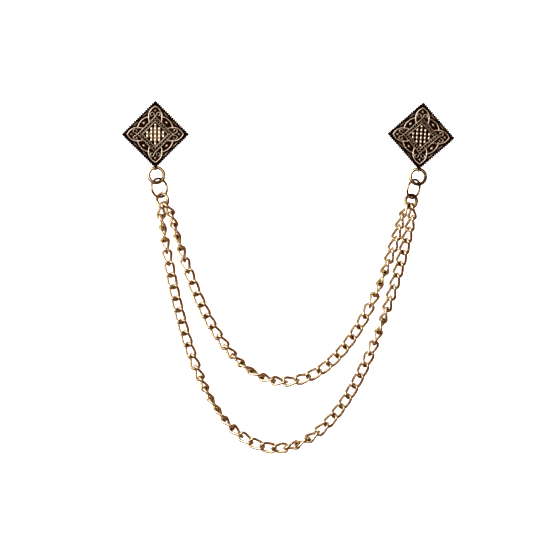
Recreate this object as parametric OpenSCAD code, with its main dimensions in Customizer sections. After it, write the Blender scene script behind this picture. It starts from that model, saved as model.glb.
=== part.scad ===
// Lapel chain: two square brooches standing on a corner, joined by two hanging strands of curb
// chain. Millimetres, +X to the right, +Z up, the brooches face -Y. The origin is where the left
// brooch's pin post leaves the back of its plate.

/* [Brooches] */
// Side of each square brooch, over its milled rim
brooch_side = 18; // [16:0.5:22]
// Thickness of the cast plate behind its ornament
plate_t = 1.2; // [1:0.1:2]
// Distance between the pin posts of the two brooches
brooch_spacing = 99.6; // [90:0.2:110]
// How much lower the right brooch sits
right_drop = 0.6; // [0:0.1:4]
// Turn of the right brooch, clockwise seen from the front
right_turn = 4; // [0:0.5:8]

/* [Ornament] */
// Width of the milled rim
rim_w = 0.75; // [0.5:0.05:1.1]
// Rise of the rim above the plate
rim_rise = 0.5; // [0.3:0.05:0.9]
// Spacing of the rim's teeth
tooth_pitch = 0.82; // [0.6:0.02:1.4]
// Depth of the cuts between the teeth
tooth_depth = 0.26; // [0.1:0.02:0.3]
// Width of the raised lines
line_w = 0.5; // [0.35:0.05:0.7]
// Rise of the lobes, curls and side arcs
line_rise = 0.6; // [0.3:0.05:1]
// Rise of the ridges round the centre square
frame_rise = 0.8; // [0.4:0.05:1.2]
// Rise of the small bosses, dots and beads
boss_rise = 0.75; // [0.4:0.05:1.1]
// Diameter of the beads between the frame's ridges
bead_d = 0.5; // [0.35:0.05:0.6]
// Spacing of the studs in the centre square
stud_pitch = 1.44; // [1.2:0.02:1.8]
// Width of one stud
stud_w = 0.86; // [0.6:0.02:1]
// Height of one stud, up and down the brooch
stud_h = 1.18; // [0.8:0.02:1.19]
// Rise of the studs above the plate
stud_rise = 0.7; // [0.3:0.05:1]

/* [Pins] */
// Diameter of the pin post
post_d = 1.1; // [0.9:0.05:1.5]
// Length of the pin post behind the plate
post_len = 9; // [7:0.5:12]
// Diameter of the clutch
clutch_d = 6; // [5:0.5:9]
// Diameter of the clutch's front flange
flange_d = 7.6; // [7:0.2:10]
// Length of the clutch along the post
clutch_len = 3.4; // [2.5:0.1:4.5]
// Room for cloth between the plate and the clutch
cloth_room = 2; // [1.5:0.1:3]
// Clearance between the clutch and the post, each side
clutch_fit = 0.08; // [0.05:0.01:0.2]

/* [Rings] */
// Outside diameter of the top rings
top_ring_d = 7; // [6.6:0.1:7.4]
// Wire of the top rings
top_ring_wire = 1.3; // [1.1:0.05:1.4]
// Outside diameter of the lower rings
lower_ring_d = 8; // [7.5:0.1:8.6]
// Wire of the lower rings
lower_ring_wire = 0.9; // [0.75:0.05:1]
// Outside diameter of the joining rings
joining_ring_d = 6; // [5.9:0.1:6.4]
// Wire of the joining rings
joining_ring_wire = 1.15; // [0.95:0.05:1.2]
// Width of the cut between a ring's two ends
ring_cut = 0.12; // [0.08:0.01:0.2]
// Clearance between rings, eyelets and end links that hang on each other
hang_gap = 0.16; // [0.13:0.01:0.25]
// Slack of the lower ring in the top ring
ring_slack = 0.4; // [0.36:0.01:0.5]
// Width of the eyelet behind the lower corner
eyelet_w = 0.9; // [0.7:0.1:1.6]
// Thinnest wall of the eyelet
eyelet_wall = 0.25; // [0.2:0.01:0.4]

/* [Chain] */
// Wire of the links
link_wire = 0.95; // [0.85:0.01:1]
// Outside width of a link
link_width = 4.15; // [4.1:0.05:4.4]
// Distance from one link to the next
link_pitch = 4.49; // [4.3:0.01:4.7]
// Clearance between a link and its neighbour
link_gap = 0.2; // [0.18:0.01:0.3]
// Twist of each link end against its middle
link_twist = 45; // [40:1:50]
// Links in the long strand
outer_links = 49; // [45:1:55]
// Links in the short strand
inner_links = 38; // [35:1:43]

/* [Hidden] */

dark_gold = [0.36, 0.27, 0.15];
gold = [0.80, 0.66, 0.38];
pale_gold = [0.86, 0.74, 0.50];

half_diag = brooch_side / sqrt(2);
// Half the diagonal of the field inside the rim, which the ornament is laid out on
field = half_diag - rim_w * sqrt(2);
teeth = floor(brooch_side / tooth_pitch);

// One lobe's outline, a Bezier curve. Columns: across, outward, as shares of the field.
LOBE = [[0.15, 0.50], [0.27, 0.60], [0.20, 0.80], [0, 0.925]];
// The thin ridge inside the rim, as a share of the field
thin_ridge = 0.965;
// Places outward along a lobe, as shares of the field
curl_out = 0.655;
curl_across = 0.112;
curl_r = 0.062;
stem_out = 0.56;
dot_out = 0.762;
dot_r = 0.045;
// The arcs and bosses between the lobes, as shares of the field
arc_mid = 0.27;
arc_r = 0.351;
arc_half = 45;
boss_out = 0.52;
boss_half = 0.066;
boss_deep = 0.038;
// The centre square's two ridges and its studs, as half diagonals in shares of the field
frame_out = 0.58;
frame_in = 0.425;
stud_reach = 0.33;
frame_gap = frame_out - frame_in;
ridge_w = line_w * 0.8;

// Ring leans in degrees from straight down, + to the right, and turns about the upright.
// Columns: top lean, lower lean, lower turn, joining lean, joining turn.
LEFT_RINGS = [6, 13.4, 38, 14, -32];
RIGHT_RINGS = [-4, -20, 50, -12, -32];
// Where each ring's cut lies, round from its low end. Columns: top, lower, joining.
LEFT_CUTS = [75, -115, 120];
RIGHT_CUTS = [105, 172, -110];
// Where a strand's end link holds the joining ring, round from its low end, and its lean.
// Columns: place on the left, lean, place on the right, lean.
OUTER_HOLD = [-24, -3, 26, 0];
INNER_HOLD = [26, 32, -26, -30];
// Lean of each strand's lowest point, in degrees
outer_lean = -2.8;
inner_lean = -0.75;
// How much further apart than link_pitch a strand's links hang
outer_slack = -0.02;
inner_slack = 0.02;

// Roll of the links about the strand. Columns: percent along the strand, roll in degrees.
OUTER_ROLL = [[0, 56], [2, 78], [4, 100], [6, 122], [8.5, 147], [10.5, 170], [21, 182],
              [25, 200], [29, 230], [33, 258], [40, 285], [44, 326], [47, 355], [50, 386],
              [52, 417], [54.2, 451], [56.3, 483], [58.4, 510], [60.5, 530], [64, 540], [71, 546],
              [75, 580], [79, 626], [81.2, 650], [83.3, 668], [85.4, 678], [87.5, 686], [90, 696],
              [92, 698], [94, 692], [96, 682], [98, 668], [100, 656]];
INNER_ROLL = [[0, 68], [2.7, 70], [5.4, 78], [8.1, 96], [10.8, 120], [13.5, 142], [16.2, 158],
              [19, 172], [21.6, 184], [27, 198], [32.5, 220], [40, 258], [45.7, 290],
              [51.3, 316], [55.4, 345], [59.5, 362], [70, 368], [75.5, 386], [78.4, 408],
              [81, 430], [83.8, 452], [86.5, 474], [89.2, 490], [92, 496], [94.6, 488],
              [97.3, 474], [100, 462]];

// The link's own form: round-cornered oval, drawn with stations along it and sides round the wire
link_square = 0.7;
stations = 12;
sides = 6;

// The ring hangs behind the plate, clear of its back
eyelet_y = top_ring_wire / 2 + hang_gap * 2.5;
eyelet_rise = eyelet_wall * 1.3;
top_ring_r = (top_ring_d - top_ring_wire) / 2;
lower_ring_r = (lower_ring_d - lower_ring_wire) / 2;
joining_ring_r = (joining_ring_d - joining_ring_wire) / 2;

function down(lean) = [sin(lean), 0, -cos(lean)];
function unit(v) = v / norm(v);
function sinh(x) = (exp(x) - exp(-x)) / 2;
function asinh(x) = ln(x + sqrt(x * x + 1));
function atanh(x) = ln((1 + x) / (1 - x)) / 2;

// From a ring's centre to its wire, at an angle round from its low end
function ring_arm(r, angle, lean, turn) =
    let (x = r * sin(angle) * cos(turn), z = -r * cos(angle))
    [cos(lean) * x - sin(lean) * z, r * sin(angle) * sin(turn), sin(lean) * x + cos(lean) * z];

// Places of one side's eyelet, top ring, lower ring and joining ring
function hanging(post, turn, rings) =
    let (eye = post + [0, eyelet_y, 0] + down(-turn) * (half_diag - eyelet_rise),
         top = eye + down(rings[0]) * top_ring_r,
         lower = top + down(rings[1]) * (top_ring_r - top_ring_wire / 2 + lower_ring_r
                                         - lower_ring_wire / 2 - ring_slack),
         joining = lower + down(rings[3]) * (lower_ring_r - lower_ring_wire / 2
                                             + joining_ring_r - joining_ring_wire / 2
                                             - hang_gap))
    [eye, top, lower, joining];

left_post = [0, 0, 0];
right_post = [brooch_spacing, 0, -right_drop];
left_places = hanging(left_post, 0, LEFT_RINGS);
right_places = hanging(right_post, right_turn, RIGHT_RINGS);

// Brooch drawing, in the plane seen from the front

function square_corner(i, h) = [h * cos(90 * i), h * sin(90 * i)];

// Raised line along a path of points
function left_of(path, i) =
    let (a = path[max(i - 1, 0)], b = path[min(i + 1, len(path) - 1)], d = unit(b - a))
    [-d[1], d[0]];
module line_along(path, w) {
    polygon([for (i = [0:len(path) - 1]) path[i] + left_of(path, i) * w / 2,
             for (i = [len(path) - 1:-1:0]) path[i] - left_of(path, i) * w / 2]);
}

module diamond(h) {
    polygon([for (i = [0:3]) square_corner(i, h)]);
}

module diamond_ridge(h, w) {
    difference() {
        diamond(h + w / sqrt(2));
        diamond(h - w / sqrt(2));
    }
}

// Square on its corner with a row of small teeth along each side
module toothed_square(h) {
    polygon([for (i = [0:3])
             let (a = square_corner(i, h), b = square_corner(i + 1, h), n = -unit(a + b))
             for (k = [0:teeth - 1], p = [[0.12, 0], [0.88, 0], [1, 1]])
             if (k < teeth - 1 || p[1] == 0)
             a + (b - a) * (k + p[0]) / teeth + n * tooth_depth * p[1]]);
}

function bezier(p, t) =
    p[0] * pow(1 - t, 3) + p[1] * 3 * t * pow(1 - t, 2) + p[2] * 3 * t * t * (1 - t)
    + p[3] * pow(t, 3);

module lobe() {
    right = [for (k = [0:12]) bezier(LOBE, k / 12) * field];
    line_along([for (p = right) [p[0], p[1]]], line_w);
    line_along([for (p = right) [-p[0], p[1]]], line_w);
}

module curl(side) {
    line_along([[0, stem_out * field],
                for (a = [190:-25:-110])
                [side * (curl_across + curl_r * cos(a)), curl_out + curl_r * sin(a)] * field],
               line_w * 0.85);
}

module side_arc() {
    line_along([for (a = [-arc_half:arc_half / 6:arc_half])
                [arc_r * sin(a), arc_mid + arc_r * cos(a)] * field], line_w);
}

// Small rounded boss that lies along the centre square's side
module boss() {
    polygon([for (a = [0:22.5:337.5])
             [boss_half * sin(a) * (1 - 0.25 * cos(a)), boss_out + boss_deep * cos(a)] * field]);
}

// Beads in a row between the two ridges of the centre square
module frame_beads() {
    mid = (frame_out + frame_in) / 2 * field;
    row = mid * sqrt(2);
    count = floor(row / tooth_pitch);
    for (i = [0:3], k = [0:count - 1])
        let (a = square_corner(i, mid), b = square_corner(i + 1, mid))
        translate(a + (b - a) * k / count)
            circle(d = bead_d, $fn = 16);
}

module studs() {
    reach = stud_reach * field;
    rows = ceil(reach / stud_pitch);
    for (i = [-rows:rows], k = [-rows:rows - 1])
        let (x = i * stud_pitch, z = (k + 0.5) * stud_pitch)
        if (abs(x) + abs(z) < reach)
            translate([x, z])
                square([stud_w, stud_h], center = true);
}

// Lifts a drawing above the plate, rooted in half its thickness
module raised(rise) {
    translate([0, 0, plate_t / 2])
        linear_extrude(plate_t / 2 + rise)
            children();
}

// Radius of the eyelet's bore, which flares to follow the curve of the ring that hangs in it
function eyelet_bore(x) =
    top_ring_r - sqrt(pow(top_ring_r - top_ring_wire / 2, 2) - x * x) + hang_gap * 1.2;

// Bush behind the lower corner, soldered to the plate
module eyelet_body() {
    xs = [for (k = [-4:4]) eyelet_w / 2 * k / 4];
    rotate([0, 90, 0])
        rotate_extrude($fn = 48)
            polygon([[0, xs[0]], for (x = xs) [eyelet_bore(x) + eyelet_wall, x], [0, xs[8]]]);
}

module eyelet_hole() {
    xs = [for (k = [-5:5]) eyelet_w / 2 * k / 4];
    rotate([0, 90, 0])
        rotate_extrude($fn = 48)
            polygon([[0, xs[0]], for (x = xs) [eyelet_bore(x), x], [0, xs[10]]]);
}

module pin_post() {
    rotate([-90, 0, 0])
        union() {
            translate([0, 0, -plate_t / 2])
                cylinder(h = post_len - post_d + plate_t / 2, d = post_d, $fn = 32);
            translate([0, 0, post_len - post_d])
                cylinder(h = post_d, d1 = post_d, d2 = post_d * 0.3, $fn = 32);
        }
}

// Whole casting, centred on its pin post, facing the front
module brooch() {
    color(dark_gold) {
        difference() {
            union() {
                rotate([90, 0, 0]) {
                    linear_extrude(plate_t)
                        toothed_square(half_diag);
                    raised(rim_rise)
                        difference() {
                            toothed_square(half_diag);
                            diamond(field);
                        }
                    raised(rim_rise * 0.6)
                        diamond_ridge(thin_ridge * field, ridge_w * 0.7);
                    for (q = [0:90:270])
                        rotate(q) {
                            raised(line_rise)
                                lobe();
                            raised(line_rise * 0.9) {
                                curl(1);
                                curl(-1);
                            }
                            raised(boss_rise)
                                translate([0, dot_out * field])
                                    circle(r = dot_r * field, $fn = 20);
                            rotate(45) {
                                raised(line_rise * 0.95)
                                    side_arc();
                                raised(boss_rise)
                                    boss();
                            }
                        }
                    raised(frame_rise) {
                        diamond_ridge(frame_out * field, ridge_w);
                        diamond_ridge(frame_in * field, ridge_w);
                    }
                    raised(boss_rise)
                        frame_beads();
                    raised(stud_rise)
                        studs();
                }
                translate([0, eyelet_y, eyelet_rise - half_diag])
                    eyelet_body();
            }
            translate([0, eyelet_y, eyelet_rise - half_diag])
                eyelet_hole();
        }
        pin_post();
    }
}

module clutch() {
    bore = post_d / 2 + clutch_fit;
    color(gold)
        translate([0, cloth_room, 0])
            rotate([-90, 0, 0])
                rotate_extrude($fn = 64)
                    polygon([[bore, 0], [flange_d / 2 - 0.2, 0], [flange_d / 2, 0.2],
                             [flange_d / 2, 0.6], [flange_d / 2 - 0.2, 0.8],
                             [clutch_d / 2, 0.8], [clutch_d / 2, clutch_len - 0.5],
                             [clutch_d / 2 - 0.5, clutch_len], [bore, clutch_len]]);
}

// Jump ring of round wire with a narrow cut
module jump_ring(centre, d, wire, lean, turn, cut) {
    r = (d - wire) / 2;
    gap = ring_cut / r * 180 / PI;
    translate(centre)
        rotate([0, -lean, 0])
            rotate([0, 0, turn])
                rotate([90, 0, 0])
                    rotate(cut - 90 + gap / 2)
                        rotate_extrude(angle = 360 - gap, $fn = 96)
                            translate([r, 0])
                                circle(d = wire, $fn = 32);
}

// Strands of curb chain

link_len = link_pitch + link_wire + link_gap;
link_mid_w = link_width - link_wire;

// An end link: its centre, the joint with the next link and its direction away from the ring
function end_link(centre, rings, place, lean) =
    let (arm = ring_arm(joining_ring_r, place, rings[3], rings[4]),
         along = unit(ring_arm(1, place + 90, rings[3], rings[4])),
         dir = down(lean),
         reach = (joining_ring_wire / 2 + link_wire / 2 + hang_gap * 1.7)
                 / norm(cross(dir, along)),
         middle = centre + arm + dir * (link_len / 2 - reach))
    [middle, middle + dir * link_pitch / 2, dir];

// Half the span over the catenary's parameter, from how much longer the strand is than its span
function slack_root(ratio, lo = 0.001, hi = 12, n = 40) =
    let (mid = (lo + hi) / 2)
    n == 0 ? mid
    : sinh(mid) / mid < ratio ? slack_root(ratio, mid, hi, n - 1)
    : slack_root(ratio, lo, mid, n - 1);

// Joints between the links of a hanging strand, along a catenary of the strand's own length
function strand_joints(a, b, count, lean, step) =
    let (c = cos(lean), s = sin(lean),
         x0 = a[0] * c + a[2] * s, z0 = a[2] * c - a[0] * s,
         x1 = b[0] * c + b[2] * s, z1 = b[2] * c - b[0] * s,
         length = count * step,
         k = slack_root(sqrt(length * length - pow(z1 - z0, 2)) / (x1 - x0)),
         scale = (x1 - x0) / 2 / k,
         low_x = (x0 + x1) / 2 - scale * atanh((z1 - z0) / length),
         s0 = scale * sinh((x0 - low_x) / scale),
         base = z0 - norm([scale, s0]))
    [for (i = [0:count])
        let (arc = s0 + i * step,
             x = low_x + scale * asinh(arc / scale), z = base + norm([scale, arc]))
        [x * c - z * s, a[1] + (b[1] - a[1]) * i / count, x * s + z * c]];

// Middles and directions of all links of a strand, from its left end to its right end
function strand_links(hold, count, lean, slack) =
    let (first = end_link(left_places[3], LEFT_RINGS, hold[0], hold[1]),
         last = end_link(right_places[3], RIGHT_RINGS, hold[2], hold[3]),
         joints = strand_joints(first[1], last[1], count - 2, lean, link_pitch + slack))
    [[first[0], first[2]],
     for (i = [0:count - 3]) [(joints[i] + joints[i + 1]) / 2, unit(joints[i + 1] - joints[i])],
     [last[0], -last[2]]];

// Place on a link's wire: u runs round the link, and the link's ends are twisted apart
function link_place(middle, dir, roll, u) =
    let (up = unit([-dir[2], 0, dir[0]]), toward = cross(dir, up),
         turn = roll - link_twist * cos(u),
         across = link_mid_w / 2 * sin(u) * (1 + link_square * pow(cos(u), 2)))
    middle + dir * link_len / 2 * cos(u) + (up * cos(turn) + toward * sin(turn)) * across;

// Points of one link, a ring of them at each station
function link_points(middle, dir, roll) =
    [for (i = [0:stations - 1])
        let (u = 360 * i / stations, p = link_place(middle, dir, roll, u),
             along = unit(link_place(middle, dir, roll, u + 2)
                          - link_place(middle, dir, roll, u - 2)),
             out = unit((p - middle) - along * ((p - middle) * along)),
             side = cross(along, out))
        for (k = [0:sides - 1])
        p + (out * cos(360 * k / sides) + side * sin(360 * k / sides)) * link_wire / 2];

module chain(links, rolls) {
    count = len(links);
    each_link = stations * sides;
    points = [for (i = [0:count - 1])
              each link_points(links[i][0], links[i][1], lookup(100 * i / (count - 1), rolls))];
    faces = [for (i = [0:count - 1], s = [0:stations - 1], k = [0:sides - 1])
             let (n = (s + 1) % stations, m = (k + 1) % sides, o = i * each_link)
             each [[o + s * sides + k, o + n * sides + k, o + n * sides + m],
                   [o + s * sides + k, o + n * sides + m, o + s * sides + m]]];
    color(pale_gold)
        polyhedron(points, faces, convexity = 10);
}

// The pieces

module left_brooch() {
    translate(left_post)
        brooch();
}

module right_brooch() {
    translate(right_post)
        rotate([0, right_turn, 0])
            brooch();
}

module left_clutch() {
    translate(left_post)
        clutch();
}

module right_clutch() {
    translate(right_post)
        clutch();
}

module top_ring(places, rings, cuts) {
    color(gold)
        jump_ring(places[1], top_ring_d, top_ring_wire, rings[0], 0, cuts[0]);
}

module lower_ring(places, rings, cuts) {
    color(pale_gold)
        jump_ring(places[2], lower_ring_d, lower_ring_wire, (rings[1] + rings[3]) / 2, rings[2],
                  cuts[1]);
}

module joining_ring(places, rings, cuts) {
    color(gold)
        jump_ring(places[3], joining_ring_d, joining_ring_wire, rings[3], rings[4], cuts[2]);
}

module inner_chain() {
    chain(strand_links(INNER_HOLD, inner_links, inner_lean, inner_slack), INNER_ROLL);
}

module outer_chain() {
    chain(strand_links(OUTER_HOLD, outer_links, outer_lean, outer_slack), OUTER_ROLL);
}

left_brooch();
right_brooch();
left_clutch();
right_clutch();
top_ring(left_places, LEFT_RINGS, LEFT_CUTS);  // left_top_ring
top_ring(right_places, RIGHT_RINGS, RIGHT_CUTS);  // right_top_ring
lower_ring(left_places, LEFT_RINGS, LEFT_CUTS);  // left_lower_ring
lower_ring(right_places, RIGHT_RINGS, RIGHT_CUTS);  // right_lower_ring
joining_ring(left_places, LEFT_RINGS, LEFT_CUTS);  // left_joining_ring
joining_ring(right_places, RIGHT_RINGS, RIGHT_CUTS);  // right_joining_ring
inner_chain();
outer_chain();
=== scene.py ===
import bmesh
import bpy
import numpy as np
from math import radians
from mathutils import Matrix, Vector


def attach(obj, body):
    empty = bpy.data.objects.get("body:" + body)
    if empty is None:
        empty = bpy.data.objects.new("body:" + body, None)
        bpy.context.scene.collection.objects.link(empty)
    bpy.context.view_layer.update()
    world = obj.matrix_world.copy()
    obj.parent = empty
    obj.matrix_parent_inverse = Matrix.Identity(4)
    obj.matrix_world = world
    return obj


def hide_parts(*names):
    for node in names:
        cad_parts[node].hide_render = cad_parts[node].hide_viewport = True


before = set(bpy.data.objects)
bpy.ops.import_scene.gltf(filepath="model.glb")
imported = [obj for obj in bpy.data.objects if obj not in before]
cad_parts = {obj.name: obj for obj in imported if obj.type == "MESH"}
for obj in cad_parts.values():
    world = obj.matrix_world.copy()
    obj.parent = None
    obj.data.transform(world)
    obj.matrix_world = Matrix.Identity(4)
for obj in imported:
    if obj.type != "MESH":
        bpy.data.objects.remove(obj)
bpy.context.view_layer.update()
print("frame loaded")

mm = 0.001  # the pieces' sizes are in millimetres, as in the solids, and angles in degrees


def unit(v):  # vectors along the last axis, brought to length one
    return v / np.linalg.norm(v, axis=-1, keepdims=True)


def down(lean):  # straight down, leaned to the right by an angle
    return np.array([np.sin(radians(lean)), 0, -np.cos(radians(lean))])


def turnedFlat(x, z, angle):
    # turned anticlockwise in the front view: (x cos - z sin, x sin + z cos)
    c, s = np.cos(radians(angle)), np.sin(radians(angle))
    return x * c - z * s, x * s + z * c


def addMesh(name, points, faces, material):
    mesh = bpy.data.meshes.new(name)
    mesh.from_pydata((np.asarray(points) * mm).tolist(), [], np.asarray(faces).tolist())
    mesh.polygons.foreach_set("use_smooth", np.full(len(mesh.polygons), True))
    mesh.materials.append(material)
    mesh.update()
    piece = bpy.data.objects.new(name, mesh)
    bpy.context.scene.collection.objects.link(piece)
    return piece


def addAttribute(piece, name, values):  # one number for each vertex
    layer = piece.data.attributes.new(name, "FLOAT", "POINT")
    layer.data.foreach_set("value", np.asarray(values, dtype=np.float32).ravel())


def weld(piece):  # joins the points that meet at a pole or seam, and turns all faces outward
    work = bmesh.new()
    work.from_mesh(piece.data)
    bmesh.ops.remove_doubles(work, verts=work.verts, dist=1e-6)
    bmesh.ops.dissolve_degenerate(work, edges=work.edges, dist=1e-7)
    bmesh.ops.recalc_face_normals(work, faces=work.faces)
    work.to_mesh(piece.data)
    work.free()


def tubeFaces(along, around, closed=True):
    # quads between neighbouring rings of a tube: ring s to ring s+1, side k to side k+1
    s, k = np.meshgrid(np.arange(along if closed else along - 1), np.arange(around),
                       indexing="ij")
    t, m = (s + 1) % along, (k + 1) % around
    return np.stack([s * around + k, s * around + m, t * around + m, t * around + k],
                    -1).reshape(-1, 4)


def turned(profile, sides, ripple=None):
    # a closed profile (along, radius) carried round the first axis
    profile = np.array(profile, float)
    a = np.linspace(0, 2 * np.pi, sides, endpoint=False)
    radius = profile[:, 1:] * np.ones(sides)
    if ripple is not None:
        radius = radius * (1 + ripple(profile, a))
    along = np.broadcast_to(profile[:, :1], radius.shape)
    points = np.stack([along, radius * np.cos(a), radius * np.sin(a)], -1)
    return points.reshape(-1, 3), tubeFaces(len(profile), sides, closed=False)


# jump rings: drawn is the wire as it looks, and hang and slack are the play where rings meet
rings = {
    "top": {"outer": 7.0, "wire": 1.3, "drawn": 1.3},
    "lower": {"outer": 8.0, "wire": 0.9, "drawn": 0.9},
    "joining": {"outer": 6.0, "wire": 1.15, "drawn": 1.3},
    "hang": 0.16, "slack": 0.4, "cut": 0.04, "steps": 110, "sides": 20,
    "endShrink": (0.0, 0.6, 0.9, 1.0), "endInset": (0.0, 0.0, 0.02, 0.10),
}


def ringRadius(kind):  # of the wire's middle line
    return (rings[kind]["outer"] - rings[kind]["wire"]) / 2


def ringArm(r, angle, lean, turn):
    # from a ring's centre to its wire, at an angle from the bottom: a circle turned about the
    # upright, then leaned
    a, t = np.radians(angle), radians(turn)
    x, z = turnedFlat(r * np.sin(a) * np.cos(t), -r * np.cos(a), lean)
    return np.stack([x, r * np.sin(a) * np.sin(t), z], -1)


def makeRing(name, kind, centre, lean, turn, cut, film, material):
    # a round wire bent on a circle, its two ends rounded over and a hair apart
    r, wire = ringRadius(kind), rings[kind]["drawn"]
    gap = rings["cut"] / r / 2
    angle = np.linspace(radians(cut) + gap, radians(cut) + 2 * np.pi - gap, rings["steps"])
    angle = np.concatenate([[angle[0]] * 3, angle, [angle[-1]] * 3])
    shrink, inset = np.ones(len(angle)), np.zeros(len(angle))
    endShrink, endInset = np.array(rings["endShrink"]), np.array(rings["endInset"])
    shrink[:4], shrink[-4:] = endShrink, endShrink[::-1]
    inset[:4], inset[-4:] = endInset, -endInset[::-1]
    angle = angle + inset * wire / r
    a = np.linspace(0, 2 * np.pi, rings["sides"], endpoint=False)
    arm = ringArm(r, np.degrees(angle), lean, turn)
    axis = unit(np.cross(ringArm(1, 0, lean, turn), ringArm(1, 90, lean, turn)))
    radius = wire / 2 * shrink
    points = centre + arm[:, None] + radius[:, None, None] * (
        unit(arm)[:, None] * np.cos(a)[None, :, None] + axis * np.sin(a)[None, :, None])
    n, m = points.shape[:2]
    piece = addMesh(name, points.reshape(-1, 3), tubeFaces(n, m, closed=False), material)
    # painted shade and film: darker all along the wire's inner side, as shade inside the ring, and
    # most where the rings above and below rub on it; and darker round one part of the ring, by the
    # film's strength and its place from the bottom
    inner = np.clip(-np.cos(a), 0, 1)[None]
    contactRubAndShade = np.cos(angle)[:, None] ** 8 * (0.5 - 0.5 * np.cos(a))[None]
    patch = (0.5 + 0.5 * np.cos(angle - radians(film[1])))[:, None]
    addAttribute(piece, "rubAndShade", np.clip(0.45 * inner + 0.6 * contactRubAndShade + film[0] * patch, 0, 1))
    weld(piece)
    return piece


# the right brooch hangs at spacing, drop and turn from the left one
brooch = {
    "side": 18.0, "plate": 1.2, "rim": 0.75, "toothPitch": 0.82, "toothDepth": 0.34,
    "toothOut": 0.22, "spacing": 99.6, "drop": 0.6, "turn": 4.0,
    "postThick": 1.1, "postLong": 9.0, "postSides": 28,
    "eyeletWide": 0.9, "eyeletWall": 0.25, "eyeletSides": 40,
    "gridPoints": 295, "backRows": ((0.35, 1.0), (0.75, 1.0), (0.97, 0.998), (1.0, 0.986),
                                    (1.0, 0.9), (1.0, 0.6), (1.0, 0.3), (1.0, 0.0)),
}
# each form's rise over the plate and half width; the other places are shares of field, the way
# from the middle to the rim, apart from insets and the sizes of beads, bosses and studs
ornament = {
    "rim": {"rise": 0.52, "half": 0.46, "inset": 0.34, "notched": 0.55},
    "ridge": {"rise": 0.4, "half": 0.2, "inset": 1.02},
    "lobe": {"rise": 0.66, "half": 0.32, "from": 0.55,
             "path": ((0.19, 0.40), (0.25, 0.60), (0.225, 0.78), (0, 0.90))},
    "curl": {"rise": 0.58, "half": 0.2125, "stem": 0.555, "out": 0.65, "across": 0.102,
             "radius": 0.057},
    "dot": {"rise": 0.75, "half": 0.5, "out": 0.765},
    "arc": {"rise": 0.62, "half": 0.31, "middle": 0.215, "radius": 0.415},
    "boss": {"rise": 0.75, "half": 1.0, "out": 0.52, "long": 0.8, "deep": 0.46, "taper": 0.25},
    "frame": {"rise": 0.88, "half": 0.24, "lines": (0.57, 0.42)},
    "bead": {"rise": 0.58, "half": 1.0, "out": 0.495, "across": 0.5, "along": 0.21},
    "stud": {"rise": 0.54, "reach": 0.33, "column": 1.5, "row": 1.44, "halfWide": 0.46,
             "halfHigh": 0.66},
}
# how far the film is rubbed off: by the height over so many cells around, changed by these, and
# on the plain parts as if they stood out so far
wear = {"around": 7, "rimLoss": 0.14, "frameLine": 0.09, "sides": 0.06, "back": 0.108,
        "eyelet": 0.13, "post": 0.14, "middle": {"left": 0.17, "right": 0.04}}

halfDiag = brooch["side"] / np.sqrt(2)
field = halfDiag - brooch["rim"] * np.sqrt(2)
fieldSide = field / np.sqrt(2)  # the same way, to the middle of a side
beadRow = ornament["bead"]["out"] * field * np.sqrt(2)
beadStep = beadRow / np.floor(beadRow / brooch["toothPitch"])
toothStep = brooch["side"] / np.floor(brooch["side"] / brooch["toothPitch"])
eyeletDepth = rings["top"]["wire"] / 2 + rings["hang"] * 2.5
eyeletDrop = halfDiag - brooch["eyeletWall"] * 1.3


def polylineDistance(x, y, path):
    # distance from each point to the nearest stretch of a path, stretch by stretch
    x, y = np.broadcast_arrays(x, y)
    best = np.full(x.shape, 1e9)
    for a, b in zip(path[:-1], path[1:]):
        step = b - a
        t = np.clip(((x - a[0]) * step[0] + (y - a[1]) * step[1]) / (step @ step), 0, 1)
        best = np.minimum(best, np.hypot(x - a[0] - t * step[0], y - a[1] - t * step[1]))
    return best


def bezier(p, n):  # points along one cubic curve
    t = np.linspace(0, 1, n)[:, None]
    return p[0] * (1 - t) ** 3 + p[1] * 3 * t * (1 - t) ** 2 + p[2] * 3 * t * t * (1 - t) \
        + p[3] * t ** 3


def arcPath(middle, out, radius, angles):  # a circle's stretch, as shares of field
    a = np.radians(angles)
    return np.stack([middle + radius * np.cos(a), out + radius * np.sin(a)], -1) * field


def domed(distance, halfWidth, power=2.0):  # one on the middle of a line, round to zero
    return np.sqrt(np.clip(1 - (distance / halfWidth) ** power, 0, 1))


def form(name, distance, power=2.0):  # a form's height, from the way to its middle
    return ornament[name]["rise"] * domed(distance, ornament[name]["half"], power)


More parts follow.
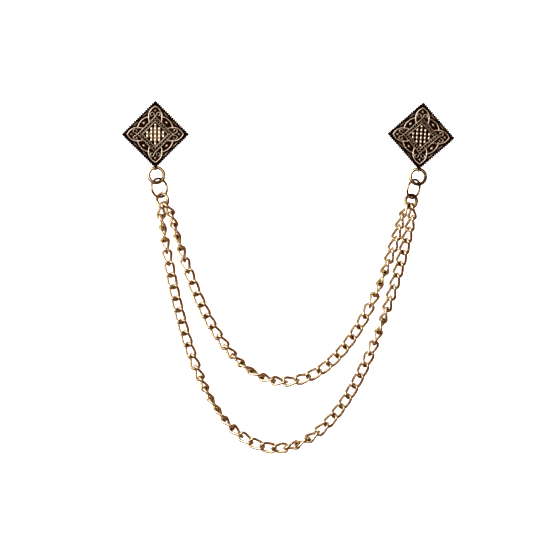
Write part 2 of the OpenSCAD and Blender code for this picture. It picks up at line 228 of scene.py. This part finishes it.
def relief(x, z):
    # height of the casting's front over its plate: of all forms, the highest at each point.
    # v runs outward to the nearest corner and u across it, p runs outward to the middle of a
    # side and q along that side, and edge is the way in from it
    u, v = np.minimum(abs(x), abs(z)), np.maximum(abs(x), abs(z))
    p, q = (u + v) / np.sqrt(2), (v - u) / np.sqrt(2)
    edge = (halfDiag - abs(x) - abs(z)) / np.sqrt(2)
    notch = (0.5 + 0.5 * np.cos(2 * np.pi * q / toothStep)) ** 3
    rim, lobe, curl, dot, arc, boss, bead, stud = (
        ornament[name] for name in ("rim", "lobe", "curl", "dot", "arc", "boss", "bead", "stud"))
    lobePath = bezier(np.array(lobe["path"]) * field, 18)
    curlPath = np.vstack([[[0, curl["stem"] * field]], arcPath(
        curl["across"], curl["out"], curl["radius"], np.arange(190, -100, -15))])
    arcLine = arcPath(arc["middle"], 0, arc["radius"], np.linspace(-2, 40, 14))
    bossOut = (p - boss["out"] * field) / boss["deep"]
    bossLong = boss["long"] * (1 - boss["taper"] * np.clip(bossOut, -1, 1))
    beadAlong = (q + beadStep / 2) % beadStep - beadStep / 2
    beadShape = form("bead", np.hypot((p - bead["out"] * fieldSide) / bead["across"],
                                      beadAlong / bead["along"]))
    studX = stud["column"] * np.round(x / stud["column"])
    studZ = stud["row"] * (np.round(z / stud["row"] - 0.5) + 0.5)
    studShape = stud["rise"] * domed(x - studX, stud["halfWide"], 4) \
        * domed(z - studZ, stud["halfHigh"], 4)
    heights = [
        form("rim", edge - rim["inset"], 3)
        * (1 - rim["notched"] * notch * np.clip(1.2 - edge / 0.5, 0, 1)),
        form("ridge", edge - ornament["ridge"]["inset"]),
        form("lobe", polylineDistance(u, v, lobePath)) * (p > lobe["from"] * fieldSide),
        form("curl", polylineDistance(u, v, curlPath)),
        form("dot", np.hypot(u, v - dot["out"] * field)),
        form("arc", polylineDistance(p, q, arcLine)),
        form("boss", np.hypot(q / bossLong, bossOut)),
        *(form("frame", p - line * fieldSide) for line in ornament["frame"]["lines"]),
        np.where(q < beadRow / 2 + 0.2, beadShape, 0),
        np.where(abs(studX) + abs(studZ) < stud["reach"] * field, studShape, 0),
    ]
    return np.maximum.reduce(heights), notch, edge


def blurred(values, width):  # each row and column averaged over a bell of that many cells
    reach = np.arange(-3 * width, 3 * width + 1)
    bell = np.exp(-0.5 * (reach / width) ** 2)
    bell /= bell.sum()
    padded = np.pad(values, 3 * width, mode="edge")
    rows = np.apply_along_axis(lambda r: np.convolve(r, bell, mode="valid"), 1, padded)
    return np.apply_along_axis(lambda r: np.convolve(r, bell, mode="valid"), 0, rows)


def plateShell(middleWear):
    # front: a square grid along the plate's own sides, lifted by the relief; then the edge's
    # loop carried back round the plate's rim and in over its flat back
    n = brooch["gridPoints"]
    s = np.linspace(-1, 1, n) * brooch["side"] / 2
    a, b = np.meshgrid(s, s, indexing="ij")
    x, z = (a - b) / np.sqrt(2), (a + b) / np.sqrt(2)
    height, notch, edge = relief(x, z)
    height = blurred(height, 1)
    # crest: how far a point stands over what is round it, less along the rim, more on the
    # frame's outer line, and at least as much as the middle square's film is rubbed off
    out = abs(x) + abs(z)
    crest = height - blurred(height, wear["around"])
    crest -= wear["rimLoss"] * np.clip(1.7 - 2 * edge, 0, 1)
    crest += wear["frameLine"] * domed(out / np.sqrt(2) - ornament["frame"]["lines"][0] * fieldSide,
                                       ornament["frame"]["half"])
    columns = np.clip(np.cos(2 * np.pi * x / ornament["stud"]["column"]) * 1.5, 0, 1)
    crest = np.maximum(crest, middleWear * np.clip(2.4 - 6 * out / field, 0, 1)
                       * (0.4 + 0.6 * columns))
    # teeth: the outermost cells drawn in at each notch and out between them, square to their
    # own side; nothing moves at the corners
    push = brooch["toothOut"] * (1 - notch) * np.clip(np.minimum(abs(x), abs(z)) - 0.4, 0, 1)
    along = abs(abs(x) - abs(z)) / np.sqrt(2)
    fade = np.clip(brooch["side"] / 2 - along - 0.25, 0, 1)
    pull = (brooch["toothDepth"] * notch * fade - push) * np.clip(1 - edge / 0.4, 0, 1)
    onA = abs(a) >= abs(b)
    a, b = a - np.where(onA, np.sign(a), 0) * pull, b - np.where(onA, 0, np.sign(b)) * pull
    x, z = (a - b) / np.sqrt(2), (a + b) / np.sqrt(2)
    front = np.stack([x, -(brooch["plate"] + height), z], -1).reshape(-1, 3)
    index = np.arange(n * n).reshape(n, n)
    faces = [np.stack([index[:-1, :-1], index[:-1, 1:], index[1:, 1:], index[1:, :-1]],
                      -1).reshape(-1, 4)]
    loop = np.concatenate([index[0, :-1], index[:-1, -1], index[-1, :0:-1], index[:0:-1, 0]])
    rows, crests = [front], [crest.ravel()]
    before = loop
    for depth, scale in brooch["backRows"]:
        now = sum(len(r) for r in rows) + np.arange(len(loop))
        faces.append(np.stack([before, now, np.roll(now, -1), np.roll(before, -1)], -1))
        rows.append(front[loop] * np.array([scale, 1 - depth, scale]))
        crests.append(np.full(len(loop), wear["sides"] if scale > 0.99 else wear["back"]))
        before = now
    return np.vstack(rows), np.vstack(faces), np.concatenate(crests)


def eyeletBore(x):  # follows the curve of the ring that hangs in it
    r = ringRadius("top")
    return r - np.sqrt((r - rings["top"]["wire"] / 2) ** 2 - x * x) + rings["hang"] * 1.2


def eyeletShell():
    # a short tube, its bore curved along and its two rims half round
    w, lip = brooch["eyeletWide"] / 2, brooch["eyeletWall"] / 2
    x = np.linspace(-w + lip, w - lip, 13)
    a = np.radians(np.linspace(90, -90, 7)[1:-1])
    middle = eyeletBore(w) + lip
    right = np.stack([w - lip + lip * np.cos(a), middle + lip * np.sin(a)], -1)
    outerLine = np.stack([x, eyeletBore(x) + brooch["eyeletWall"]], -1)
    innerLine = np.stack([x, eyeletBore(x)], -1)[::-1]
    left = right[::-1] * np.array([-1, 1])
    profile = np.vstack([outerLine, right, innerLine, left, outerLine[:1]])
    points, faces = turned(profile, brooch["eyeletSides"])
    return points + np.array([0, eyeletDepth, -eyeletDrop]), faces


def postShell():
    # a foot in the plate, a fillet, the shank, a groove that the clutch grips, and a point
    r, h = brooch["postThick"] / 2, brooch["postLong"]
    profile = [(-0.6, 0), (-0.6, r * 1.9), (0.0, r * 1.9), (0.12, r * 1.75), (0.3, r * 1.2),
               (0.55, r), (h - 3.0, r), (h - 2.9, r * 0.86), (h - 2.6, r * 0.86), (h - 2.5, r),
               (h - 1.1, r), (h - 0.5, r * 0.66), (h - 0.12, r * 0.3), (h, 0)]
    points, faces = turned(profile, brooch["postSides"])
    return np.stack([points[:, 1], points[:, 0], -points[:, 2]], -1), faces


def makeBrooch(name, post, turn, middleWear, material):
    *plate, plateCrest = plateShell(middleWear)
    shells = [plate, eyeletShell(), postShell()]
    crest = [plateCrest, np.full(len(shells[1][0]), wear["eyelet"]),
             np.full(len(shells[2][0]), wear["post"])]
    starts = np.cumsum([0] + [len(points) for points, _ in shells])
    points = np.vstack([points for points, _ in shells])
    faces = np.vstack([f + start for (_, f), start in zip(shells, starts)])
    x, z = turnedFlat(points[:, 0], points[:, 2], -turn)
    piece = addMesh(name, np.stack([x, points[:, 1], z], -1) + post, faces, material)
    addAttribute(piece, "crest", np.concatenate(crest))
    weld(piece)
    return piece


clutch = {"wide": 6.0, "flange": 7.6, "long": 3.4, "room": 2.0, "bore": 0.63, "knurls": 36,
          "knurlDepth": 0.012}


def makeClutch(name, post, material):
    # a turned barrel: bore, rolled flange, body with a groove, and a rounded back
    r, f, h, b = clutch["wide"] / 2, clutch["flange"] / 2, clutch["long"], clutch["bore"]
    profile = [(0.04, b), (0, b + 0.08), (0, f - 0.5), (0.03, f - 0.22), (0.12, f - 0.06),
               (0.28, f), (0.5, f), (0.66, f - 0.06), (0.76, f - 0.2), (0.8, f - 0.42),
               (0.8, r + 0.12), (0.86, r + 0.02), (1.0, r), (h - 0.9, r), (h - 0.84, r - 0.07),
               (h - 0.72, r - 0.07), (h - 0.66, r), (h - 0.5, r - 0.02), (h - 0.2, r - 0.2),
               (h - 0.05, r - 0.5), (h, r - 0.8), (h, b + 0.5), (h - 0.08, b + 0.3),
               (h - 0.08, b), (0.04, b)]

    def knurl(p, a):  # small even waves on the flange's edge only
        onEdge = (p[:, 1] > f - 0.08)[:, None]
        return onEdge * clutch["knurlDepth"] * (np.cos(a * clutch["knurls"]) - 1)[None]

    points, faces = turned(profile, clutch["knurls"] * 4, knurl)
    points = np.stack([points[:, 1], points[:, 0] + clutch["room"], -points[:, 2]], -1) + post
    piece = addMesh(name, points, faces, material)
    weld(piece)
    return piece


# how each side hangs: the brooch's turn, the rings' lean to the right and turn about the upright,
# where each ring is cut, and its film, as strength and place
sides = {
    "left": {"post": np.zeros(3), "turn": 0.0, "top": (6, 0), "lower": (13.4, 38),
             "joining": (14, -32), "cuts": (75, -115, 120),
             "films": ((0.5, 40), (0.25, -80), (0.2, 110))},
    "right": {"post": np.array([brooch["spacing"], 0, -brooch["drop"]]),
              "turn": brooch["turn"], "top": (-4, 0), "lower": (-20, 50),
              "joining": (-12, -32), "cuts": (105, 172, -110),
              "films": ((0.8, 50), (0.3, -70), (0.9, 160))},
}


def hangingPlaces(side):
    # the rings' middles, each under the one above by their radii less wires and play
    half = {kind: rings[kind]["wire"] / 2 for kind in ("top", "lower", "joining")}
    r = {kind: ringRadius(kind) for kind in half}
    eye = side["post"] + np.array([0, eyeletDepth, 0]) + down(-side["turn"]) * eyeletDrop
    top = eye + down(side["top"][0]) * r["top"]
    lower = top + down(side["lower"][0]) * (
        r["top"] - half["top"] + r["lower"] - half["lower"] - rings["slack"])
    joining = lower + down(side["joining"][0]) * (
        r["lower"] - half["lower"] + r["joining"] - half["joining"] - rings["hang"])
    return {"top": top, "lower": lower, "joining": joining}


for side in sides.values():
    side["places"] = hangingPlaces(side)

# curb chain: body is the wire as it looks
link = {"wire": 0.95, "body": 1.12, "width": 4.15, "pitch": 4.49, "gap": 0.2, "twist": 45.0,
        "square": 0.7, "around": 12, "along": 48, "seam": np.pi / 2, "pinch": 0.09}
# hold: place on the ring and lean of the end links, left and right
# roll of the links about their strand: percent along it, degrees
outerStrand = {
    "links": 49, "lean": -2.8, "slack": -0.02, "hold": ((-24, -3), (26, 0)),
    "roll": [(0, 56), (2, 78), (4, 100), (6, 122), (8.5, 147), (10.5, 170), (21, 182), (25, 200),
             (29, 230), (33, 258), (40, 285), (44, 326), (47, 355), (50, 386), (52, 417),
             (54.2, 451), (56.3, 483), (58.4, 510), (60.5, 530), (64, 540), (71, 546), (75, 580),
             (79, 626), (81.2, 650), (83.3, 668), (85.4, 678), (87.5, 686), (90, 696), (92, 698),
             (94, 692), (96, 682), (98, 668), (100, 656)],
}
innerStrand = {
    "links": 38, "lean": -0.75, "slack": 0.02, "hold": ((26, 32), (-26, -30)),
    "roll": [(0, 68), (2.7, 70), (5.4, 78), (8.1, 96), (10.8, 120), (13.5, 142), (16.2, 158),
             (19, 172), (21.6, 184), (27, 198), (32.5, 220), (40, 258), (45.7, 290), (51.3, 316),
             (55.4, 345), (59.5, 362), (70, 368), (75.5, 386), (78.4, 408), (81, 430), (83.8, 452),
             (86.5, 474), (89.2, 490), (92, 496), (94.6, 488), (97.3, 474), (100, 462)],
}
linkLong = link["pitch"] + link["wire"] + link["gap"]
linkMidWide = link["width"] - link["wire"]


def endLink(side, hold):  # its middle, its far joint and its direction
    place, lean = hold
    wireWay = ringArm(1, place + 90, *side["joining"])
    way = down(lean)
    reach = (rings["joining"]["wire"] / 2 + link["wire"] / 2 + rings["hang"] * 1.7) \
        / np.linalg.norm(np.cross(way, wireWay))
    arm = ringArm(ringRadius("joining"), place, *side["joining"])
    middle = side["places"]["joining"] + arm + way * (linkLong / 2 - reach)
    return middle, middle + way * link["pitch"] / 2, way


def strandJoints(a, b, count, lean, step):
    # a hanging curve of the strand's own length: height is scale * cosh(along / scale), and its
    # points are a pitch apart along the curve, in a frame turned by the strand's lean
    (x0, z0), (x1, z1) = (turnedFlat(end[0], end[2], -lean) for end in (a, b))
    length = count * step
    ratio = np.sqrt(length ** 2 - (z1 - z0) ** 2) / (x1 - x0)
    low, high = 0.001, 12.0
    for _ in range(50):
        k = (low + high) / 2
        low, high = (k, high) if np.sinh(k) / k < ratio else (low, k)
    scale = (x1 - x0) / 2 / k
    lowX = (x0 + x1) / 2 - scale * np.arctanh((z1 - z0) / length)
    start = scale * np.sinh((x0 - lowX) / scale)
    arc = start + np.arange(count + 1) * step
    x = lowX + scale * np.arcsinh(arc / scale)
    z = z0 - np.hypot(scale, start) + np.hypot(scale, arc)
    x, z = turnedFlat(x, z, lean)
    return np.stack([x, np.linspace(a[1], b[1], count + 1), z], -1)


def strandLinks(strand):  # middles, directions and rolls of all links
    first = endLink(sides["left"], strand["hold"][0])
    last = endLink(sides["right"], strand["hold"][1])
    joints = strandJoints(first[1], last[1], strand["links"] - 2, strand["lean"],
                          link["pitch"] + strand["slack"])
    middles = np.vstack([first[0], (joints[1:] + joints[:-1]) / 2, last[0]])
    ways = unit(np.vstack([first[2], joints[1:] - joints[:-1], -last[2]]))
    table = np.array(strand["roll"], float)
    share = np.linspace(0, 100, strand["links"])
    return middles, ways, np.interp(share, table[:, 0], table[:, 1])


def linkCurve(middles, ways, rolls, u):
    # the wire's middle line: an oval along the strand whose cross direction turns with cos(u),
    # so that the two ends of each link stand about a right angle apart
    up = unit(np.stack([-ways[:, 2], 0 * ways[:, 0], ways[:, 0]], -1))
    toward = np.cross(ways, up)
    turn = np.radians(rolls[:, None] - link["twist"] * np.cos(u))[..., None]
    across = (linkMidWide / 2 * np.sin(u) * (1 + link["square"] * np.cos(u) ** 2))[None, :, None]
    cross = np.cos(turn) * up[:, None] + np.sin(turn) * toward[:, None]
    return middles[:, None] + ways[:, None] * (linkLong / 2 * np.cos(u))[None, :, None] \
        + cross * across


def makeChain(name, strand, material):
    # round wire along each link's curve, pinched a little where its ends meet at the seam
    placing, seam = strandLinks(strand), link["seam"]
    u = np.sort(np.concatenate([np.linspace(0, 2 * np.pi, link["along"], endpoint=False),
                                seam + np.array([-0.075, -0.03, 0.03, 0.075])]))
    curve = linkCurve(*placing, u)
    along = unit(linkCurve(*placing, u + 0.01) - linkCurve(*placing, u - 0.01))
    outward = curve - placing[0][:, None]
    outward = unit(outward - along * (outward * along).sum(-1, keepdims=True))
    side = np.cross(along, outward)
    a = np.linspace(0, 2 * np.pi, link["around"], endpoint=False)
    radius = link["body"] / 2 * (1 - link["pinch"] * np.exp(-((u - seam) / 0.035) ** 2))
    points = curve[:, :, None] + radius[None, :, None, None] * (
        outward[:, :, None] * np.cos(a)[None, None, :, None]
        + side[:, :, None] * np.sin(a)[None, None, :, None])
    count, n, m = points.shape[:3]
    faces = (tubeFaces(n, m)[None] + (np.arange(count) * n * m)[:, None, None]).reshape(-1, 4)
    piece = addMesh(name, points.reshape(-1, 3), faces, material)
    # painted shade and film: dark inside both ends of each link, as shade where the links cross,
    # and less along its inner side
    ends = np.clip(np.abs(np.cos(u)) * 2.2 - 1.0, 0, 1)[:, None]
    rubAndShade = np.maximum(ends * np.clip(0.3 - 0.6 * np.cos(a), 0, 1), 0.3 * np.clip(-np.cos(a), 0, 1))
    addAttribute(piece, "rubAndShade", np.broadcast_to(rubAndShade, (count, n, m)))
    return piece


# the film's noises on all finishes: their scales on a metre, and how much each counts
agedNoise = {"fine": 2600.0, "broad": 420.0, "scratch": (900.0, 900.0, 6500.0),
             "scratchTilt": 35, "fineShare": 0.6, "broadShare": 0.9, "middle": 0.75,
             "deepening": 2.6, "scratchRough": 0.16, "fineHeight": 0.7, "scratchHeight": 0.3}


def addNode(tree, kind, at=(0, 0), **settings):
    node = tree.nodes.new(kind)
    node.location = at
    for key, value in settings.items():
        setattr(node, key, value)
    return node


def feed(tree, node, values):  # sockets by name or number: another node's socket, or a value
    for key, value in values.items():
        if isinstance(value, bpy.types.NodeSocket):
            tree.links.new(value, node.inputs[key])
        else:
            node.inputs[key].default_value = value
    return node


def buildAgedMetal():
    # plated metal with a dark film: the film's share comes in, is broken up by fine and broad
    # noise, and gives the colour, the roughness and a small surface height
    group = bpy.data.node_groups.new("agedMetal", "ShaderNodeTree")
    for way, sockets in (
            ("INPUT", {"Metal": "Color", "Film": "Color", "Share": "Float", "Breakup": "Float",
                       "Polish": "Float", "Tarnish": "Float"}),
            ("OUTPUT", {"Color": "Color", "Roughness": "Float", "Height": "Float"})):
        for name, kind in sockets.items():
            group.interface.new_socket(name, in_out=way, socket_type="NodeSocket" + kind)

    def put(kind, at, values, **settings):
        return feed(group, addNode(group, kind, at, **settings), values)

    def combine(kind, a, b, at, clamp=False):
        return put("ShaderNodeMath", at, {0: a, 1: b}, operation=kind, use_clamp=clamp).outputs[0]

    given = addNode(group, "NodeGroupInput", (-900, 0)).outputs
    place = addNode(group, "ShaderNodeTexCoord", (-900, -300)).outputs["Object"]
    fine = put("ShaderNodeTexNoise", (-650, -200), {
        "Vector": place, "Scale": agedNoise["fine"], "Detail": 5.0, "Roughness": 0.6}).outputs[0]
    broad = put("ShaderNodeTexNoise", (-650, -450), {
        "Vector": place, "Scale": agedNoise["broad"], "Detail": 3.0}).outputs[0]
    brushed = put("ShaderNodeMapping", (-650, -700), {
        "Vector": place, "Rotation": (0.0, radians(agedNoise["scratchTilt"]), 0.0),
        "Scale": agedNoise["scratch"]}).outputs[0]
    scratch = put("ShaderNodeTexNoise", (-430, -700), {
        "Vector": brushed, "Scale": 1.0, "Detail": 2.0}).outputs[0]

    noise = combine("ADD", combine("MULTIPLY", fine, agedNoise["fineShare"], (-420, -200)),
                    combine("MULTIPLY", broad, agedNoise["broadShare"], (-420, -400)),
                    (-240, -300))
    centred = combine("SUBTRACT", noise, agedNoise["middle"], (-60, -300))
    share = combine("ADD", given["Share"],
                    combine("MULTIPLY", centred, given["Breakup"], (100, -300)),
                    (260, -200), clamp=True)
    # thin film makes the metal deeper in colour before it covers it
    depth = combine("ADD", combine("MULTIPLY", share, agedNoise["deepening"], (260, 200)), 1.0,
                    (350, 200))
    deep = put("ShaderNodeGamma", (420, 200), {"Color": given["Metal"], "Gamma": depth})
    tone = put("ShaderNodeMix", (600, 100), {0: share, 6: deep.outputs[0], 7: given["Film"]},
               data_type="RGBA")
    rough = put("ShaderNodeMix", (450, -100), {0: share, 2: given["Polish"], 3: given["Tarnish"]},
                data_type="FLOAT")
    scratched = combine("SUBTRACT", scratch, 0.5, (250, -600))
    roughAll = combine("ADD", rough.outputs[0],
                       combine("MULTIPLY", scratched, agedNoise["scratchRough"], (420, -600)),
                       (650, -200), clamp=True)
    height = combine("ADD", combine("MULTIPLY", fine, agedNoise["fineHeight"], (420, -400)),
                     combine("MULTIPLY", scratch, agedNoise["scratchHeight"], (420, -500)),
                     (650, -400))
    put("NodeGroupOutput", (900, 0), {"Color": tone.outputs[2], "Roughness": roughAll,
                                      "Height": height})
    return group


agedMetal = buildAgedMetal()


def newMetal(name, look):
    # aged metal; its film's share is one number, or follows an attribute from one range to another
    material = bpy.data.materials.new(name)
    material.use_nodes = True
    tree = material.node_tree
    tree.nodes.clear()
    share = look["share"]
    if "attribute" in look:
        source = addNode(tree, "ShaderNodeAttribute", (-600, 0), attribute_name=look["attribute"])
        ramp = feed(tree, addNode(tree, "ShaderNodeMapRange", (-400, 0), clamp=True), {
            "Value": source.outputs["Fac"], "From Min": look["from"][0],
            "From Max": look["from"][1], "To Min": share[0], "To Max": share[1]})
        share = ramp.outputs[0]
    aged = feed(tree, addNode(tree, "ShaderNodeGroup", (100, 0), node_tree=agedMetal), {
        "Metal": (*look["metal"], 1), "Film": (*look["film"], 1), "Share": share,
        "Breakup": look["breakup"], "Polish": look["polish"], "Tarnish": look["tarnish"]})
    bump = feed(tree, addNode(tree, "ShaderNodeBump", (350, -300)), {
        "Height": aged.outputs["Height"], "Strength": look["bump"], "Distance": 0.00004})
    shader = feed(tree, addNode(tree, "ShaderNodeBsdfPrincipled", (600, 0)), {
        "Base Color": aged.outputs["Color"], "Roughness": aged.outputs["Roughness"],
        "Metallic": 1.0, "Normal": bump.outputs[0], "Specular Tint": (*look["rim"], 1)})
    feed(tree, addNode(tree, "ShaderNodeOutputMaterial", (900, 0)), {0: shader.outputs[0]})
    return material


broochLook = {"metal": (1.0, 0.90, 0.76), "film": (0.012, 0.003, 0.001), "breakup": 0.5,
              "polish": 0.26, "tarnish": 0.55, "bump": 0.35, "rim": (0.6, 0.36, 0.24),
              "attribute": "crest", "from": (0.02, 0.17), "share": (1.3, -0.12)}
# rings and chain: their film share follows a per-point attribute that is film where parts rub, and
# painted shade inside the rings and where links cross
ringLook = {"metal": (1.0, 0.89, 0.65), "film": (0.03, 0.006, 0.001), "breakup": 0.6,
            "polish": 0.10, "tarnish": 0.35, "bump": 0.18, "rim": (0.5, 0.22, 0.1),
            "attribute": "rubAndShade", "from": (0.0, 0.8), "share": (0.1, 1.0)}
chainLook = {"metal": (1.0, 0.89, 0.65), "film": (0.045, 0.008, 0.001), "breakup": 0.5,
             "polish": 0.2, "tarnish": 0.45, "bump": 0.1, "rim": (0.7, 0.42, 0.24),
             "attribute": "rubAndShade", "from": (0.0, 0.8), "share": (0.0, 1.0)}
clutchLook = {"metal": (0.83, 0.65, 0.34), "film": (0.30, 0.19, 0.08), "breakup": 0.5,
              "polish": 0.22, "tarnish": 0.45, "bump": 0.2, "rim": (0.6, 0.36, 0.2),
              "share": 0.15}

broochGold = newMetal("antiqueGoldCasting", broochLook)
ringGold = newMetal("ringGold", ringLook)
chainGold = newMetal("chainGold", chainLook)
clutchGold = newMetal("clutchGold", clutchLook)
print("finishes ready")


def settle(piece, node):
    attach(piece, "root")
    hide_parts(node)


for sideName, side in sides.items():
    post = side["post"]
    settle(makeBrooch(sideName + "Brooch", post, side["turn"], wear["middle"][sideName],
                      broochGold), sideName + "_brooch")
    settle(makeClutch(sideName + "Clutch", post, clutchGold), sideName + "_clutch")
    joiningLean, joiningTurn = side["joining"]
    lowerLean = (side["lower"][0] + joiningLean) / 2  # as it is drawn by the ring below it
    hanging = (("top", *side["top"]), ("lower", lowerLean, side["lower"][1]),
               ("joining", joiningLean, joiningTurn))
    for (kind, lean, turn), cut, film in zip(hanging, side["cuts"], side["films"]):
        ring = makeRing(sideName + kind.capitalize() + "Ring", kind, side["places"][kind],
                        lean, turn, cut, film, ringGold)
        settle(ring, sideName + "_" + kind + "_ring")
    print(sideName, "brooch and rings made")
settle(makeChain("innerChain", innerStrand, chainGold), "inner_chain")
settle(makeChain("outerChain", outerStrand, chainGold), "outer_chain")
print("strands made")

# floor and backdrop, in metres
stage = {"floor": -0.36, "radius": 2.6, "bend": 0.7, "top": 2.4, "flat": 1.0, "sides": 96,
         "color": (0.93, 0.93, 0.93), "glow": 0.9}


def makeBackdrop():
    # a shallow tub all round: a flat disc, a quarter circle up from it, and an upright wall;
    # point = (r * cos(a), r * sin(a), z)
    bend = np.linspace(0, np.pi / 2, 16)
    r = np.concatenate([[0.0, stage["flat"]],
                        stage["radius"] - stage["bend"] * (1 - np.sin(bend)), [stage["radius"]]])
    z = stage["floor"] + np.concatenate([[0, 0], stage["bend"] * (1 - np.cos(bend)),
                                         [stage["top"]]])
    a = np.linspace(0, 2 * np.pi, stage["sides"], endpoint=False)
    points = np.stack(np.broadcast_arrays(r[:, None] * np.cos(a), r[:, None] * np.sin(a),
                                          z[:, None]), -1).reshape(-1, 3)
    material = bpy.data.materials.new("paleBackdrop")
    material.use_nodes = True
    feed(material.node_tree, material.node_tree.nodes["Principled BSDF"], {
        "Base Color": (*stage["color"], 1), "Roughness": 1.0,
        "Emission Color": (1, 1, 1, 1), "Emission Strength": stage["glow"]})
    backdrop = addMesh("backdrop", points / mm, tubeFaces(len(r), len(a), closed=False), material)
    weld(backdrop)
    backdrop.visible_glossy = False
    backdrop.visible_shadow = False


makeBackdrop()

# soft panels, aimed at the middle; glow is how bright a panel looks, where white is 1
middle = (0.042, 0.0, -0.05)
lights = {
    "keyLight": {"place": (-1.15, -0.65, 0.35), "size": (1.9, 1.6), "glow": 1.4,
                 "color": (1.0, 0.96, 0.88)},
    "sideLight": {"place": (1.1, -0.4, 0.1), "size": (0.6, 1.2), "glow": 0.15,
                  "color": (1.0, 0.85, 0.75)},
    "frontLight": {"place": (-0.5, -1.42, 0.28), "size": (1.3, 1.0), "glow": 3.4,
                   "color": (1.0, 0.96, 0.9)},
    "backLight": {"place": (0.1, 1.5, 0.3), "size": (1.3, 1.2), "glow": 1.8,
                  "color": (1.0, 0.96, 0.88)},
    "topLight": {"place": (-0.1, -0.25, 1.2), "size": (1.2, 0.8), "glow": 0.8,
                 "color": (1.0, 0.96, 0.9)},
}
room = {"color": (0.8, 0.24, 0.06), "strength": 0.16}

for name, light in lights.items():
    data = bpy.data.lights.new(name, "AREA")
    data.shape = "RECTANGLE"
    data.size, data.size_y = light["size"]
    data.energy = light["glow"] * np.pi * data.size * data.size_y
    data.color = light["color"]
    lamp = bpy.data.objects.new(name, data)
    lamp.location = light["place"]
    aim = Vector(middle) - Vector(light["place"])
    lamp.rotation_euler = aim.to_track_quat("-Z", "Y").to_euler()
    bpy.context.scene.collection.objects.link(lamp)

world = bpy.data.worlds.new("room")
world.use_nodes = True
feed(world.node_tree, world.node_tree.nodes["Background"],
     {0: (*room["color"], 1), 1: room["strength"]})
bpy.context.scene.world = world
bpy.context.scene.view_settings.view_transform = "Standard"

# face on to the brooches, from far enough to look flat, as in the photograph
shot = {"centre": (41.66, -49.54), "wide": 199.9, "away": 1400.0, "sensor": 36.0}
camera = bpy.data.cameras.new("camera")
camera.sensor_width = shot["sensor"]
camera.lens = shot["sensor"] * shot["away"] / shot["wide"]
camera.clip_start, camera.clip_end = 0.01, 20.0
cameraObject = bpy.data.objects.new("camera", camera)
cameraObject.location = (shot["centre"][0] * mm, -shot["away"] * mm, shot["centre"][1] * mm)
cameraObject.rotation_euler = (radians(90), 0, 0)
bpy.context.scene.collection.objects.link(cameraObject)
bpy.context.scene.camera = cameraObject
print("stage, lights and camera set")
